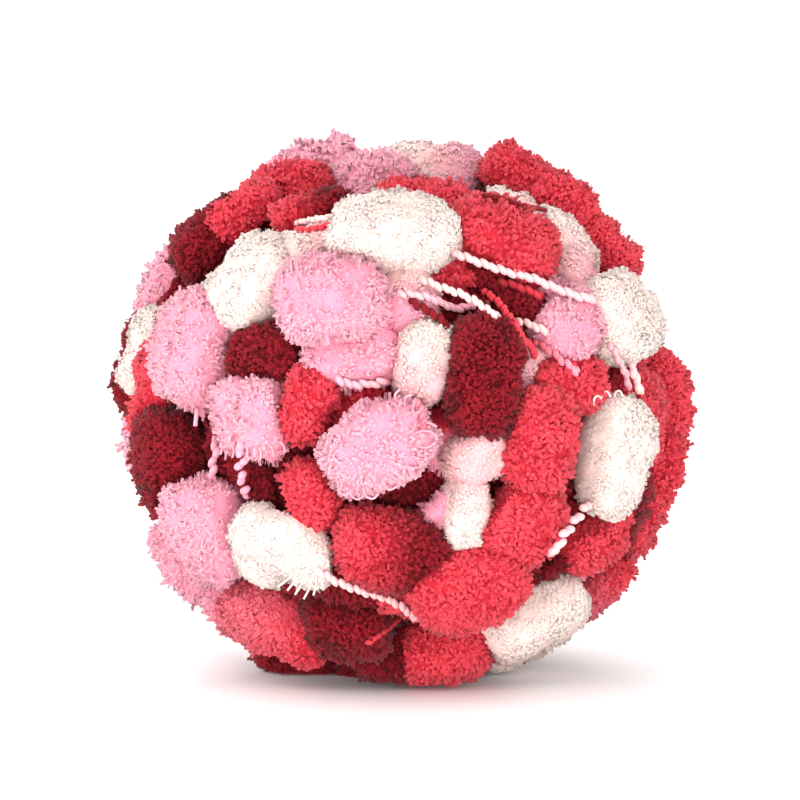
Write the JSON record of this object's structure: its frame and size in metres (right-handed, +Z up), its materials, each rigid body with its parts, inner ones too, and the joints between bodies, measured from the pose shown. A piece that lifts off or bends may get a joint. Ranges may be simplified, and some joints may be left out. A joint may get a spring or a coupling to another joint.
{
  "type": "ball of pompom yarn",
  "caption": "Ball wound from pompom yarn: soft cut-pile puffs in red, pink, maroon and white on a twisted thread, resting on a small flat spot.",
  "frame": {"origin": "on the surface the ball rests on, below the middle of its bounding box", "axes": "+Z up, the pictured face towards -Y, +X to the right of that face"},
  "size_m": [0.1904, 0.1859, 0.1775],
  "materials": {
    "pile": "matt cut pile of fine polyester strands, space-dyed red, pink, maroon and white"
  },
  "bodies": {
    "root": {"yarn_ball": "pile"}
  },
  "joints": []
}
